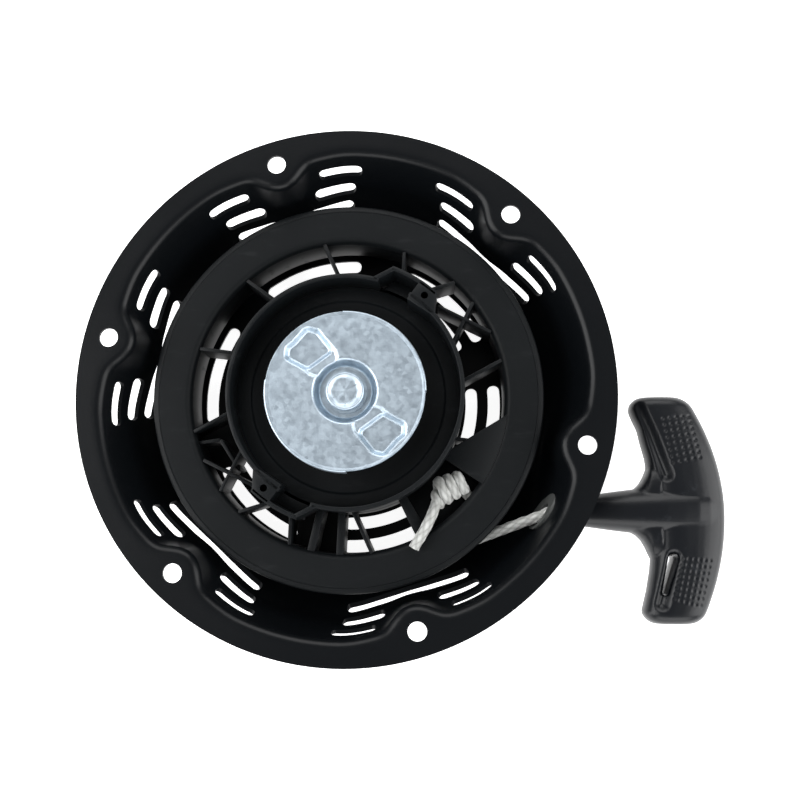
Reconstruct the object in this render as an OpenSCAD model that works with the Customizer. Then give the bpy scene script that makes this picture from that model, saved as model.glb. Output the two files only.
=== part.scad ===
// Recoil starter for a small engine: a pressed steel case, a rope reel on a centre post,
// a coiled recoil spring, two pawls under a friction plate, and a T-shaped pull handle.
// Millimetres. The origin is the centre of the bolt circle on the mounting face.
// +Z points at the engine, +X is the way the rope is pulled.

/* [Mounting flange] */
// Outside diameter of the flange
flange_d = 240; // [236:1:244]
// Diameter of the circle that the mounting holes lie on
bolt_circle_d = 218; // [217:0.5:219]
// Mounting hole diameter
bolt_hole_d = 8.4; // [6:0.1:9]
// Number of mounting holes
bolt_count = 6; // [6:1:6]
// Angle of the first mounting hole
bolt_angle = -13; // [-15:1:-11]

/* [Case] */
// Sheet thickness
sheet_t = 1.6; // [1.2:0.1:1.8]
// Depth of the inside of the case
case_depth = 46; // [46:0.5:48]
// Lean of the side wall from upright
wall_lean = 12; // [10:0.5:13]
// Radius of the side wall where it meets the back curve
wall_r = 104; // [103:0.5:105]
// Radius of the curve between the side wall and the back
corner_r = 30; // [28:1:31]
// Radius of the bend between the flange and the side wall
lip_r = 4; // [3:0.5:5]
// Radius of the pocket that clears each mounting hole
pocket_r = 11.5; // [11:0.5:12]
// Lean of those pockets
pocket_lean = 4.6; // [4:0.1:5]
// Radius of the pressed step in the middle of the back
pan_r = 48; // [46:1:49]
// Height of that step
pan_step = 1.6; // [1:0.1:2]

/* [Cooling slots] */
// Heights of the side slots, from the upper row to the lowest
slot_row_h = [8, 6.6, 4.6]; // [4:0.1:8.2]
// Heights of the middles of those rows
slot_row_z = [-13.4, -27, -35.6]; // [-36:0.1:-13]
// Angles from the hole to the near end of the short slots in the upper two rows
slot_near = [9.6, 7.4]; // [7:0.1:10]
// Angles from the hole to the far end of those slots
slot_far = [20.4, 18.3]; // [18:0.1:21]
// Half angle that a long slot in the lowest row covers
long_slot_half = 17.4; // [17:0.1:19]
// Inner and outer radius of the outer ring of slots in the back
back_ring_outer = [65.4, 71.2]; // [65:0.1:71.5]
// Inner and outer radius of the inner ring of slots in the back
back_ring_inner = [54.7, 60.3]; // [54:0.1:60.5]
// Half angle that a back slot covers, with its round ends
back_slot_half = 20.3; // [18:0.1:21]

/* [Centre post and screw] */
// Radius of the post where the reel turns
post_r = 9; // [8:0.5:9]
// Radius of the lower part of the post, which carries the spring
drum_r = 11; // [10.5:0.5:11.5]
// Height of the top of the post
post_top = -7.8; // [-7.8:0.1:-7.7]
// Radius of the screw head
screw_head_r = 8.5; // [8:0.1:8.8]
// Thread radius of the screw
screw_r = 4; // [3.5:0.5:4]

/* [Reel] */
// Running clearance of the reel on the post
running_fit = 0.05; // [0.02:0.01:0.1]
// Outside radius of the rope flanges
reel_r = 89.5; // [88:0.5:90]
// Radius of the bottom of the rope groove
groove_r = 74.2; // [74:0.1:74.5]
// Height of the upper face of the front rope flange
reel_front = -16; // [-16:0.1:-15.8]
// Height of the lower face of the rear rope flange
reel_rear = -37; // [-37.2:0.1:-37]
// Thickness of the rope flanges
reel_t = 2.5; // [2.3:0.1:2.5]
// Inner radius of the ring round the starter cup
ring_r = 51.2; // [50.8:0.1:51.5]
// Wall thickness of that ring
ring_t = 2; // [1.8:0.1:2.2]
// Radius that the two ears of the ring reach
ear_r = 60.4; // [60:0.1:61]
// Thickness of the thin ribs
rib_t = 1.6; // [1.4:0.1:2]

/* [Recoil spring] */
// Number of turns of the spring strip
spring_turns = 10; // [8:1:10]
// Thickness of the strip
strip_t = 0.7; // [0.5:0.1:0.8]
// Width of the strip
strip_w = 15.5; // [12:0.5:16]

/* [Pawls and friction plate] */
// Radius at which the pawls are pivoted
pawl_pivot_r = 25; // [24.5:0.5:25]
// Angle of the first pawl's pivot
pawl_angle = 100; // [99:1:101]
// Radius of the pivot pins
pawl_pin_r = 2.5; // [2:0.1:2.6]
// Outside radius of the friction plate at its skirt
plate_r = 36.2; // [36:0.1:36.4]
// Sheet thickness of the friction plate
plate_t = 1.5; // [1.2:0.1:1.5]
// Height of the upper face of the friction plate
plate_top = -0.4; // [-0.5:0.1:-0.4]

/* [Rope] */
// Rope diameter
rope_d = 5; // [4.5:0.1:5]
// Radius of the centre line of the outer layer of rope
rope_wind_r = 81; // [81:0.1:81.2]
// Place of the centre of the rope outlet in the side wall
outlet = [91, -52.5, -22]; // [-53:0.5:91]

/* [Handle] */
// Height of the handle's middle plane
handle_z = -22; // [-22:0.5:-21.5]
// Thickness of the grip
grip_h = 25; // [24:0.5:26]
// Where the tip of the stem starts
stem_x = 98.7; // [98.6:0.1:99]

/* [Hidden] */

$fn = 96;
cut = 1;
bolt_r = bolt_circle_d / 2;
bolt_step = 360 / bolt_count;
vented_bolts = [for (i = [1:bolt_count - 1]) bolt_angle + i * bolt_step];
// The wall line passes (wall_r, wall_z), where the corner curve starts
corner_z = corner_r - case_depth;
wall_z = corner_z - corner_r * sin(wall_lean);
flat_r = wall_r - corner_r * cos(wall_lean);
lip_x = wall_r + (lip_r - (wall_z + lip_r) * sin(wall_lean)) / cos(wall_lean);
back_out = -case_depth - sheet_t;
pan_in = -case_depth + pan_step;
slot_row_r = [106, 103, 98.3];
groove_top = reel_front - reel_t;
groove_low = reel_rear + reel_t;
rim_top = -0.4;
ring_out = ring_r + ring_t;
ring_rear = -44;
web_top = -18.5;
web_low = -21.5;
seat_top = -12;
seat_r = 33;
pawl_low = -11;
pawl_top = -5.9;
plate_low = plate_top - plate_t;
pan_drop = 3.5;
cup_floor = -6;
rope_r = rope_d / 2;
wind_z = (groove_top + groove_low) / 2 + 2.65;
outlet_a = atan2(outlet[1], outlet[0]);
outlet_r = norm([outlet[0], outlet[1]]);
tangent_a = outlet_a - acos(rope_wind_r / outlet_r);
rope_slope = tangent_a + 90;
lead_x = outlet[0] + 2.3;
spring_low = -43.4;
// Middles and radii of the two lobes of the knot in the reel
knot_lobes = [[40.4, -44.6, -19, 6.4], [49.8, -41, -19.4, 5.6]];
// Points of the knot's tail, from the knot out over the rim of the pocket
tail_points = [[41.5, -47.5, -17], [39.5, -52, -14.2], [37, -57, -12.8], [34, -62.5, -12.6],
    [31.5, -66.5, -12.8], [30, -69, -13]];

case_colour = "#1a1b1d";
reel_colour = "#26292b";
zinc_colour = "#b9c4cc";
steel_colour = "#8b8f94";
rope_colour = "#ececea";

// ---- helpers ----

function polar(a, r) = [r * cos(a), r * sin(a)];

function arc(centre, r, from, to, steps) =
    [for (i = [0:steps]) centre + polar(from + (to - from) * i / steps, r)];

// A round bar swept along points, as one closed mesh
module swept(points, r, sides = 8) {
    count = len(points);
    up = [0, 0, 1];
    function along(i) = points[min(i + 1, count - 1)] - points[max(i - 1, 0)];
    function side(i) = let (c = cross(along(i), up)) c / norm(c);
    function lift(i) = let (c = cross(side(i), along(i))) c / norm(c);
    rings = [for (i = [0:count - 1], k = [0:sides - 1])
        let (a = 360 * k / sides) points[i] + r * (cos(a) * side(i) + sin(a) * lift(i))];
    walls = [for (i = [0:count - 2], k = [0:sides - 1])
        let (n = (k + 1) % sides)
            [i * sides + k, i * sides + n, (i + 1) * sides + n, (i + 1) * sides + k]];
    polyhedron(rings, concat([[for (k = [sides - 1:-1:0]) k]], walls,
        [[for (k = [0:sides - 1]) (count - 1) * sides + k]]), convexity = 6);
}

// Part of a round wall between two radii, two angles and two heights
module arc_wall(r0, r1, a0, a1, z0, z1) {
    rotate([0, 0, a0]) rotate_extrude(angle = a1 - a0)
        translate([r0, z0]) square([r1 - r0, z1 - z0]);
}

// Straight wall between two points of the plan
module plan_wall(from, to, t, z0, z1) {
    side = t / 2 * [from[1] - to[1], to[0] - from[0]] / norm(to - from);
    translate([0, 0, z0]) linear_extrude(z1 - z0)
        polygon([from + side, from - side, to - side, to + side]);
}

module ring(r0, r1, z0, z1) {
    translate([0, 0, z0]) difference() {
        cylinder(r = r1, h = z1 - z0);
        translate([0, 0, -cut]) cylinder(r = r0, h = z1 - z0 + 2 * cut);
    }
}

// ---- case ----

// Outline of the dish at a distance outside its inner face: the inner face is at 0
function dish_side(out) = concat(
    arc([flat_r, corner_z], corner_r + out, -90, -wall_lean, 9),
    arc([lip_x, -lip_r], lip_r - out, 180 - wall_lean, 90, 5));

module dish(out, top) {
    rotate_extrude() polygon(concat(
        [[0, pan_in - out], [pan_r, pan_in - out], [pan_r + pan_step, -case_depth - out]],
        dish_side(out), [[lip_x, top], [0, top]]));
}

module bolt_pockets(r, top) {
    for (i = [0:bolt_count - 1]) rotate([0, 0, bolt_angle + i * bolt_step])
        translate([bolt_r, 0, 0]) rotate([0, pocket_lean, 0]) translate([0, 0, -60])
            cylinder(r = r, h = 60 + top);
}

// Slot with round ends, cut straight through the side wall
module wall_slot(from, to, row) {
    r = slot_row_r[row];
    end_r = slot_row_h[row] / 2;
    end = r * sin((to - from) / 2) - end_r;
    rotate([0, 0, (from + to) / 2]) translate([r - 20, 0, slot_row_z[row]]) rotate([90, 0, 90])
        linear_extrude(35) polygon(concat(
            arc([end, 0], end_r, -90, 90, 8), arc([-end, 0], end_r, 90, 270, 8)));
}

// Curved slot with round ends, cut through the back
module back_slot(mid, radii) {
    mid_r = (radii[0] + radii[1]) / 2;
    end_r = (radii[1] - radii[0]) / 2;
    half = back_slot_half - atan(end_r / mid_r);
    translate([0, 0, back_out - cut]) linear_extrude(sheet_t + 2 * cut) polygon(concat(
        arc([0, 0], radii[1], mid - half, mid + half, 16),
        arc(polar(mid + half, mid_r), end_r, mid + half + 20, mid + half + 160, 6),
        arc([0, 0], radii[0], mid + half, mid - half, 16),
        arc(polar(mid - half, mid_r), end_r, mid - half + 200, mid - half + 340, 6)));
}

module case() {
    color(case_colour) difference() {
        union() {
            difference() {
                dish(sheet_t, -sheet_t / 2);
                difference() {
                    bolt_pockets(pocket_r - sheet_t, 0);
                    translate([0, 0, -sheet_t]) cylinder(r = flange_d, h = 2 * flange_d);
                }
            }
            translate([0, 0, -sheet_t]) cylinder(d = flange_d, h = sheet_t, $fn = 180);
        }
        difference() {
            dish(0, cut);
            bolt_pockets(pocket_r, 2 * cut);
        }
        for (i = [0:bolt_count - 1]) rotate([0, 0, bolt_angle + i * bolt_step])
            translate([bolt_r, 0, -6]) cylinder(d = bolt_hole_d, h = 12, $fn = 48);
        for (a = vented_bolts) {
            for (row = [0, 1]) {
                wall_slot(a - slot_far[row], a - slot_near[row], row);
                wall_slot(a + slot_near[row], a + slot_far[row], row);
            }
            wall_slot(a - long_slot_half, a + long_slot_half, 2);
        }
        for (i = [0:bolt_count - 1]) {
            back_slot(bolt_angle + i * bolt_step, back_ring_outer);
            back_slot(bolt_angle + i * bolt_step, back_ring_inner);
        }
        translate([outlet[0] - 12, outlet[1], outlet[2]]) rotate([0, 90, 0])
            cylinder(r = 8, h = 24, $fn = 64);
        translate([0, 0, back_out - cut]) cylinder(r = 7, h = 6);
    }
}

// Eyelet that leads the rope through the side wall
module rope_guide() {
    color("#b4b6b4") difference() {
        translate([80, outlet[1], outlet[2]]) rotate([0, 90, 0]) {
            cylinder(r = 8, h = 18.4, $fn = 64);
            translate([0, 0, 17]) cylinder(r = 10, h = 1.4, $fn = 64);
        }
        dish(-1.2, cut);
        translate([70, outlet[1], outlet[2]]) rotate([0, 90, 0])
            cylinder(r = 3.6, h = 40, $fn = 48);
        translate([97.2, outlet[1], outlet[2]]) rotate([0, 90, 0])
            cylinder(r1 = 3.6, r2 = 5, h = 1.3, $fn = 48);
        translate([93, outlet[1], outlet[2]]) rotate([0, -90, rope_slope])
            cylinder(r = 3.2, h = 20, $fn = 48);
    }
}

// ---- centre post, screw and washers ----

module centre_post() {
    color(steel_colour) difference() {
        union() {
            translate([0, 0, back_out]) cylinder(r = 7, h = 6);
            translate([0, 0, pan_in]) cylinder(r = 16, h = 1);
            translate([0, 0, pan_in]) cylinder(r = drum_r, h = -25 - pan_in);
            translate([0, 0, -25]) cylinder(r = post_r, h = post_top + 25);
        }
        translate([0, 0, -30]) cylinder(r = screw_r + 0.05, h = 40, $fn = 48);
        // Slot that the inner end of the recoil spring hooks into
        translate([drum_r - 5, -0.9, -45]) cube([8, 1.8, 20.5]);
    }
}

module thrust_washer() {
    color(steel_colour) ring(post_r + running_fit, 13.5, -24.95, -24.15);
}

module centre_screw() {
    color(zinc_colour) difference() {
        union() {
            translate([0, 0, -27]) cylinder(r = screw_r, h = 25, $fn = 48);
            translate([0, 0, post_top]) cylinder(r = 5.5, h = 3.1, $fn = 48);
            translate([0, 0, -4.7]) cylinder(r = screw_head_r, h = 1.4, $fn = 64);
            translate([0, 0, -3.4]) cylinder(r = 5.8, h = 2.6, $fn = 6);
        }
        translate([0, 0, -1.6]) cylinder(r = 3.6, h = 2, $fn = 48);
    }
}

module screw_washer() {
    color(zinc_colour) ring(5.55, 9.6, cup_floor + 0.1, -4.75);
}

// ---- reel ----

// One half of the ring's two-fold detail: an ear, its screw boss and the ribs
module reel_half(rib_count) {
    ear_floor = web_low - 0.5;
    // Ear
    arc_wall(ear_r - ring_t, ear_r, 47, 69.5, ear_floor, rim_top);
    plan_wall(polar(76, ring_r + ring_t / 2), polar(68.6, ear_r - ring_t / 2), ring_t, ear_floor,
        rim_top);
    arc_wall(ring_r + 0.7, ear_r - 0.7, 48, 71, ear_floor + 0.2, web_top);
    // Screw boss
    difference() {
        translate([0, 0, ear_floor]) linear_extrude(rim_top - ear_floor)
            polygon([polar(56.5, 49.6), polar(56, ear_r - 0.3), polar(47.5, ear_r - 0.2),
                polar(40.5, ring_out - 0.4), polar(43, ring_r - 0.3)]);
        translate([polar(50.5, 55.6)[0], polar(50.5, 55.6)[1], -13])
            cylinder(r = 1.65, h = 20, $fn = 32);
    }
    // Thin ribs out to the groove wall
    ribs = [[93, 99, ring_out], [158, 162, ring_out], [7, 13, ring_out], [65, 69, ear_r],
        [54, 47, ear_r], [26, 37, ring_out], [126, 131, ring_out]];
    for (i = [0:rib_count - 1])
        plan_wall(polar(ribs[i][0], ribs[i][2] - 0.4), polar(ribs[i][1], groove_r - 2), rib_t,
            reel_rear + 1, reel_front - 0.5);
    plan_wall(polar(45, 58.7), polar(24, groove_r - 2.3), rib_t, reel_rear + 1, reel_front - 0.3);
}

// Half rounded inner edge and chamfered rim of the front rope flange
module front_flange() {
    rotate_extrude() polygon(concat(
        [[groove_r - 2.6, groove_top]],
        arc([groove_r + 0.6, reel_front - 3.2], 3.2, 180, 90, 5),
        [[reel_r - 2.6, reel_front], [reel_r - 0.4, reel_front - 0.7],
            [reel_r, reel_front - 1.1], [reel_r, groove_top]]));
}

module knot_pocket() {
    // Solid sector at the height of the front flange, cut off along a slanted edge
    difference() {
        arc_wall(ring_out - 0.3, groove_r - 1, 296, 354, groove_top, reel_front);
        translate([0, 0, groove_top - cut]) linear_extrude(10)
            polygon([polar(331, ring_out - 1), polar(353, groove_r), polar(0, 90),
                polar(0, 40), polar(340, 40)]);
        arc_wall(ring_out + 0.1, groove_r - 2.7, 300.5, 326.5, groove_top - cut, 0);
    }
    arc_wall(ring_out - 0.2, groove_r - 1.3, 299.6, 327.4, -28.6, -27);
    for (a = [[299, 300.5], [326.5, 328]])
        arc_wall(ring_out - 0.3, groove_r - 1, a[0], a[1], -28.8, reel_front);
}

module reel() {
    color(reel_colour) difference() {
        union() {
            // Bearing sleeve, raised pawl seat and web
            rotate_extrude() polygon([[post_r + running_fit, -24], [14, -24], [14, -14.5],
                [seat_r - 2.5, -14.5], [seat_r - 2.5, web_low], [ring_out - 0.5, web_low],
                [ring_out - 0.5, web_top], [45, web_top], [44.2, web_top - 1],
                [seat_r, web_top - 1], [seat_r, seat_top], [10.3, seat_top], [10.3, -8.2],
                [post_r + running_fit, -8.2]]);
            difference() {
                ring(ring_r, ring_out, ring_rear, rim_top);
                // The ring opens into each ear
                for (a = [57, 237])
                    arc_wall(ring_r - 2, ring_out + 2, a, a + 16.5, web_top, cut);
            }
            ring(groove_r - 2.6, groove_r, reel_rear, groove_top + 0.1);
            ring(groove_r - 2.6, reel_r, reel_rear, groove_low);
            front_flange();
            reel_half(7);
            // The other half has no rib where the knot sits
            rotate([0, 0, 180]) reel_half(6);
            // Thick posts beside the lower ear
            for (a = [257, 267.5])
                plan_wall(polar(a, ring_out - 0.3), polar(a, groove_r - 2), 3.4, reel_rear + 1,
                    reel_front - 1.5);
            // Small box between two ribs
            plan_wall(polar(197, groove_r - 2), polar(198.5, 62), rib_t, reel_rear + 1,
                reel_front - 4);
            plan_wall(polar(198.5, 62), polar(214, 60), rib_t, reel_rear + 1, reel_front - 4);
            knot_pocket();
            for (a = [pawl_angle, pawl_angle + 180]) rotate([0, 0, a])
                translate([pawl_pivot_r, 0, web_low - 0.5]) cylinder(r = 5, h = 8, $fn = 48);
        }
        for (a = [pawl_angle, pawl_angle + 180]) rotate([0, 0, a])
            translate([pawl_pivot_r, 0, -30]) cylinder(r = pawl_pin_r, h = 30, $fn = 48);
        // Hole that the rope enters the groove through
        rotate([0, 0, 320]) translate([groove_r - 4, 0, -23.4]) rotate([0, 90, 0])
            cylinder(r = 3, h = 8, $fn = 48);
    }
}

// Flat spiral of spring strip, hooked into the post at its inner end
module recoil_spring() {
    r_in = drum_r + 1.2;
    r_out = ring_r - 1.2;
    steps = 22;
    total = spring_turns * steps;
    function at(i, off) = polar(360 * i / steps, r_in + (r_out - r_in) * i / total + off);
    color("#6d7278") {
        translate([0, 0, spring_low]) linear_extrude(strip_w) polygon(concat(
            [for (i = [0:total]) at(i, strip_t / 2)],
            [for (i = [total:-1:0]) at(i, -strip_t / 2)]));
        translate([drum_r - 4, -strip_t / 2, spring_low])
            cube([r_in - drum_r + 4 + strip_t / 2, strip_t, strip_w]);
    }
}

// ---- pawls, their pins and springs ----

module at_pivot(index) {
    rotate([0, 0, pawl_angle + 180 * index]) translate([pawl_pivot_r, 0, 0]) children();
}

module pawl(index) {
    color(steel_colour) difference() {
        rotate([0, 0, 180 * index]) translate([0, 0, pawl_low])
            linear_extrude(pawl_top - pawl_low) union() {
                hull() {
                    translate(polar(pawl_angle, pawl_pivot_r)) circle(r = 5.6, $fn = 32);
                    translate(polar(122, 25.2)) circle(r = 4.8, $fn = 32);
                }
                hull() {
                    translate(polar(122, 25.2)) circle(r = 4.8, $fn = 32);
                    translate(polar(147, 32)) circle(r = 1.4, $fn = 32);
                    translate(polar(143, 27)) circle(r = 1.4, $fn = 32);
                }
            }
        at_pivot(index) {
            translate([0, 0, -20]) cylinder(r = pawl_pin_r + 0.06, h = 20, $fn = 48);
            translate([0, 0, pawl_low - cut]) cylinder(r = 4.6, h = 1.8 + cut, $fn = 48);
        }
    }
}

module pawl_pin(index) {
    color(zinc_colour) at_pivot(index)
        translate([0, 0, web_low]) cylinder(r = pawl_pin_r, h = -5.8 - web_low, $fn = 48);
}

module pawl_spring(index) {
    turns = 2;
    coil = [for (i = [0:20 * turns]) let (a = 18 * i)
        [3.6 * cos(a), 3.6 * sin(a), -11.55 + 1.5 * i / (20 * turns)]];
    color(steel_colour) at_pivot(index) swept(concat([[3.6, -6.5, -11.55], [3.6, -3, -11.55]], coil),
        0.4, 6);
}

// ---- friction plate and its spring ----

module friction_plate() {
    wedges = [[108, 152], [289, 335]];
    color(zinc_colour) difference() {
        union() {
            translate([0, 0, plate_low]) cylinder(r = plate_r - 0.8, h = plate_t);
            for (a = [0, 172]) {
                span = a == 0 ? 92 : 99;
                arc_wall(20, plate_r, a, a + span, plate_low, plate_top);
                arc_wall(plate_r - plate_t, plate_r, a, a + span, -9, plate_top);
            }
            for (w = wedges)
                arc_wall(12, 33, w[0], w[1], plate_low - pan_drop, plate_top);
            translate([0, 0, cup_floor - plate_t]) cylinder(r = 14, h = plate_top + plate_t - cup_floor);
        }
        for (w = wedges)
            arc_wall(16.5, 33 - plate_t, w[0] + 3, w[1] - 3, plate_top - pan_drop, cut);
        translate([0, 0, cup_floor]) cylinder(r1 = 11.5, r2 = 13, h = 8, $fn = 96);
        translate([0, 0, -20]) cylinder(r = 5.5 + running_fit, h = 30, $fn = 48);
    }
}

module friction_spring() {
    turns = 2.2;
    steps = 24 * turns;
    color(steel_colour) swept([for (i = [0:steps]) let (a = 15 * i)
        [12 * cos(a), 12 * sin(a), -11.2 + 2.7 * i / steps]], 0.7, 8);
}

// ---- rope ----

module rope_coil() {
    inner_r = groove_r + rope_r + 0.1;
    color(rope_colour) {
        for (i = [-1:1]) rotate_extrude()
            translate([inner_r, (groove_top + groove_low) / 2 + i * 5.3]) circle(r = rope_r, $fn = 32);
        rotate_extrude()
            translate([rope_wind_r, wind_z - 5.3]) circle(r = rope_r, $fn = 32);
        // The last turn ends where the rope leaves the reel
        rotate([0, 0, tangent_a + 24]) rotate_extrude(angle = 336)
            translate([rope_wind_r, wind_z]) circle(r = rope_r, $fn = 32);
    }
}

module rope_run() {
    start = polar(tangent_a, rope_wind_r);
    first = [start[0], start[1], wind_z];
    mouth = [outlet[0] - 1.5, outlet[1] + 0.1, outlet[2]];
    color(rope_colour) swept(concat(
        [for (i = [0:6]) first + (mouth - [3, 1.1, 0] - first) * i / 6],
        [mouth, outlet + [2, 0, 0]]), rope_r, 10);
}

module rope_lead() {
    color(rope_colour) translate([lead_x, outlet[1], outlet[2]]) rotate([0, 90, 0])
        cylinder(r = rope_r, h = 146.4 - lead_x, $fn = 32);
}

module rope_knot() {
    color(rope_colour) hull() for (lobe = knot_lobes)
        translate([lobe[0], lobe[1], lobe[2]]) sphere(r = lobe[3], $fn = 20);
}

module rope_tail() {
    color(rope_colour) difference() {
        swept(tail_points, rope_r, 10);
        rope_knot();
    }
}

// ---- handle ----

// Slice across the grip: its middle, its width and its thickness, at a place along the grip
module grip_slice(y, x0, x1, h, r) {
    for (x = [x0 + r, x1 - r], s = [-1, 1])
        translate([x, y, handle_z + s * (h / 2 - r)]) rotate([90, 0, 0])
            cylinder(r = r, h = 0.5, center = true, $fn = 24);
}

module grip_part(a, b) {
    hull() {
        grip_slice(a[0], a[1], a[2], a[3], a[4]);
        grip_slice(b[0], b[1], b[2], b[3], b[4]);
    }
}

module handle() {
    y = outlet[1];
    mid = [y, 133, 169.3, grip_h, 8];
    upper = [y + 30, 133.5, 165.8, grip_h - 0.5, 8];
    upper_end = [y + 48.5, 127.5, 157.5, grip_h - 3, 8];
    lower = [y - 30, 134.5, 167, grip_h - 0.5, 8];
    lower_end = [y - 47.5, 131.5, 161.5, grip_h - 3, 8];
    upper_tip = [y + 51.1, 131, 154, grip_h - 9, 6];
    lower_tip = [y - 49.9, 134.5, 158, grip_h - 9, 6];
    parts = [[mid, upper], [upper, upper_end], [upper_end, upper_tip], [mid, lower],
        [lower, lower_end], [lower_end, lower_tip]];
    color("#202226") difference() {
        union() {
            for (p = parts) grip_part(p[0], p[1]);
            translate([0, y, handle_z]) rotate([90, 0, 90]) rotate_extrude()
                polygon([[0, stem_x], [5.4, stem_x], [6.2, stem_x + 1], [6.9, 108], [8, 114],
                    [9.3, 124], [10.4, 130], [12, 136], [12, 150], [0, 150]]);
        }
        translate([stem_x - cut, y, handle_z]) rotate([0, 90, 0])
            cylinder(r = 3, h = 60, $fn = 48);
        translate([stem_x - cut, y, handle_z]) rotate([0, 90, 0])
            cylinder(r1 = 5.2, r2 = 3, h = 3, $fn = 48);
        // Pocket for the knot, open at the back
        translate([145, y - 8, handle_z - 20]) cube([15, 16, 28]);
        // Long slots through both arms
        for (s = [-1, 1]) translate([s > 0 ? 142.5 : 144, y + s * 20, handle_z - 20])
            rotate([0, 0, s > 0 ? 8 : -8]) {
                translate([-2.5, s > 0 ? 0 : -20, 0]) cube([5, 20, 40]);
                for (e = [0, s * 20]) translate([0, e, 0]) cylinder(r = 2.5, h = 40, $fn = 32);
            }
    }
}

module handle_washer() {
    color(zinc_colour) translate([145.1, outlet[1], outlet[2]]) rotate([0, 90, 0]) difference() {
        cylinder(r = 6.6, h = 1.2, $fn = 48);
        translate([0, 0, -cut]) cylinder(r = 2.7, h = 4, $fn = 48);
    }
}

module handle_knot() {
    color(rope_colour) translate([151.9, outlet[1], outlet[2]]) sphere(r = 5.5, $fn = 32);
}

case();
centre_post();
rope_guide();
rope_run();
thrust_washer();
centre_screw();
screw_washer();
reel();
recoil_spring();
rope_coil();
rope_knot();
rope_tail();
friction_spring();
pawl_pin(0);  // pawl_1_pin
pawl_pin(1);  // pawl_2_pin
pawl_spring(0);  // pawl_1_spring
pawl_spring(1);  // pawl_2_spring
pawl(0);  // pawl_1
pawl(1);  // pawl_2
friction_plate();
handle();
handle_washer();
handle_knot();
rope_lead();
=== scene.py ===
import bmesh
import bpy
import math
import numpy as np
from mathutils import Matrix, Vector


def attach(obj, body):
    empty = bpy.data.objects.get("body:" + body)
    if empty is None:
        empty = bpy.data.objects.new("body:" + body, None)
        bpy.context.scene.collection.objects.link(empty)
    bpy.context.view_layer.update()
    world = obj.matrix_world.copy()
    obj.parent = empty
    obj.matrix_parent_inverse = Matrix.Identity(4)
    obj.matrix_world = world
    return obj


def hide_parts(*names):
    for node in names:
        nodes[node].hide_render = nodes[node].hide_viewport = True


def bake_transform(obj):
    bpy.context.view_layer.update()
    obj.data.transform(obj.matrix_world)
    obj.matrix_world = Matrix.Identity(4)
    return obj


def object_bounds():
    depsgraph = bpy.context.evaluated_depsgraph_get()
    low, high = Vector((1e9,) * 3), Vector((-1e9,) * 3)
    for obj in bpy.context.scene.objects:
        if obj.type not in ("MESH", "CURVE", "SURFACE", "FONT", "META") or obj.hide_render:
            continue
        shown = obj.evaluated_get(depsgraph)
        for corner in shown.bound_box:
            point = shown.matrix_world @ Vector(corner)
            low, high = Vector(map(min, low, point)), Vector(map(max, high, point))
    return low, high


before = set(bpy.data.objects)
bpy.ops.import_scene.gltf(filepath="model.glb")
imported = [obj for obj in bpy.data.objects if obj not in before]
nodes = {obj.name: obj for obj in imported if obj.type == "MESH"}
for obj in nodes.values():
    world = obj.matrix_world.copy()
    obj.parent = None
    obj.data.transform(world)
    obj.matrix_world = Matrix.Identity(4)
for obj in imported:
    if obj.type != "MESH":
        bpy.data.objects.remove(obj)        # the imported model: bodies, nodes, joints and record
cadLow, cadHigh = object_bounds()
mm = 0.001
print("frame loaded:", len(nodes), "nodes")


def deselectAll():
    active = bpy.context.object
    if active and active.mode != "OBJECT":
        bpy.ops.object.mode_set(mode="OBJECT")
    bpy.ops.object.select_all(action="DESELECT")


def pick(piece):
    deselectAll()
    piece.select_set(True)
    bpy.context.view_layer.objects.active = piece


def editMesh(piece):
    pick(piece)
    bpy.ops.object.mode_set(mode="EDIT")
    return bmesh.from_edit_mesh(piece.data)


def leaveEdit():
    bpy.ops.object.mode_set(mode="OBJECT")


def leaveOutward():
    # leaves edit mode with every normal pointing out
    bpy.ops.mesh.select_all(action="SELECT")
    bpy.ops.mesh.normals_make_consistent(inside=False)
    leaveEdit()

def flipFaces(piece):
    editMesh(piece)
    bpy.ops.mesh.select_all(action="SELECT")
    bpy.ops.mesh.flip_normals()
    leaveEdit()


def startPiece(name, count, fill):
    # a circle with one corner for each point of an outline
    deselectAll()
    bpy.ops.mesh.primitive_circle_add(vertices=count, radius=mm, fill_type=fill)
    piece = bpy.context.object
    piece.name = name
    piece.data.name = name
    return piece


def spun(name, profile, steps, closed=False, turn=360.0):
    # a profile of radius and height, in mm, turned round the Z axis
    piece = startPiece(name, len(profile), "NOTHING")
    for corner, (radius, height) in zip(piece.data.vertices, profile):
        corner.co = (radius * mm, 0.0, height * mm)
    shape = editMesh(piece)
    if not closed:
        ends = {0, len(profile) - 1}
        for edge in shape.edges:
            edge.select = {v.index for v in edge.verts} == ends
        bmesh.update_edit_mesh(piece.data)
        bpy.ops.mesh.delete(type="EDGE")
    bpy.ops.mesh.select_all(action="SELECT")
    bpy.ops.mesh.spin(steps=steps, angle=math.radians(turn), center=(0, 0, 0), axis=(0, 0, 1))
    bpy.ops.mesh.select_all(action="SELECT")
    bpy.ops.mesh.remove_doubles(threshold=1e-6)
    leaveOutward()
    return piece


def extruded(name, outline, low, high):
    # an outline in the XY plane, in mm, raised from low to high
    piece = startPiece(name, len(outline), "NGON")
    for corner, (x, y) in zip(piece.data.vertices, outline):
        corner.co = (x * mm, y * mm, low * mm)
    editMesh(piece)
    bpy.ops.mesh.select_all(action="SELECT")
    bpy.ops.mesh.extrude_region_move(TRANSFORM_OT_translate={"value": (0, 0, (high - low) * mm)})
    leaveOutward()
    return piece


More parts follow.
